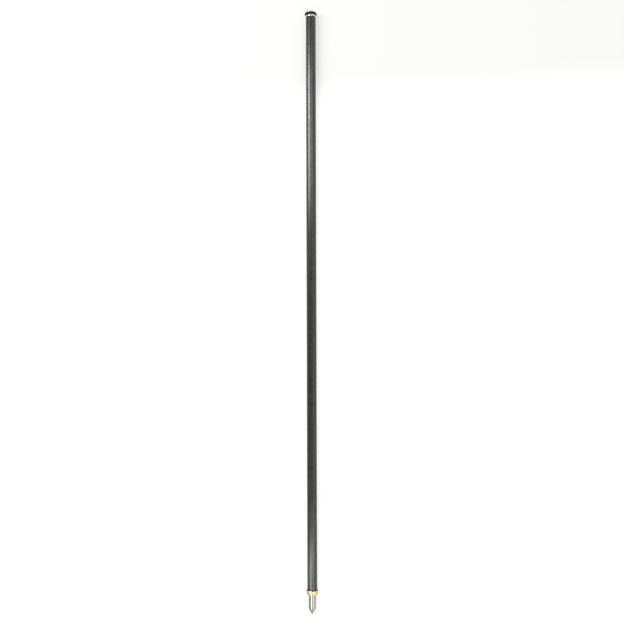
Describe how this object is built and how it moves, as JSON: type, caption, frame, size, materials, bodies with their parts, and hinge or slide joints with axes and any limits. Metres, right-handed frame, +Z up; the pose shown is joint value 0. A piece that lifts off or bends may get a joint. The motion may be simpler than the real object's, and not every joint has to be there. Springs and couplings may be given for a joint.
{
  "type": "cello endpin",
  "caption": "Straight cello endpin: a wound carbon-fibre rod with a ringed metal head, a brass stop collar and a polished steel spike that screws out of the lower end.",
  "frame": {"origin": "on the surface that the endpin lies on, under the middle of its length and of its width", "axes": "+Z up from the surface; +Y along the rod, from the steel point to the head; +X across the rod"},
  "size_m": [0.0124, 0.61, 0.0124],
  "materials": {
    "carbon_fibre": "satin",
    "head_metal": "polished",
    "rubber": "gloss",
    "insert_brass": "satin",
    "polished_brass": "polished",
    "polished_steel": "polished"
  },
  "bodies": {
    "shaft": {"carbon_tube": "carbon_fibre", "end_plug": "head_metal", "stop_o_ring": "rubber", "thread_insert": "insert_brass"},
    "collar": {"brass_collar": "polished_brass"},
    "spike": {"steel_spike": "polished_steel"}
  },
  "joints": [
    {"name": "spike_travel", "type": "slide", "parent": "shaft", "child": "collar", "axis": [0, -1, 0], "range_m": [0, 0.012]},
    {"name": "spike_turn", "type": "hinge", "parent": "collar", "child": "spike", "pos_m": [0, 0, 0.0062], "axis": [0, -1, 0], "range_deg": [0, 5400]}
  ],
  "couplings": [
    {"joint": "spike_turn", "follows": "spike_travel", "rad_per_m": 7854}
  ]
}
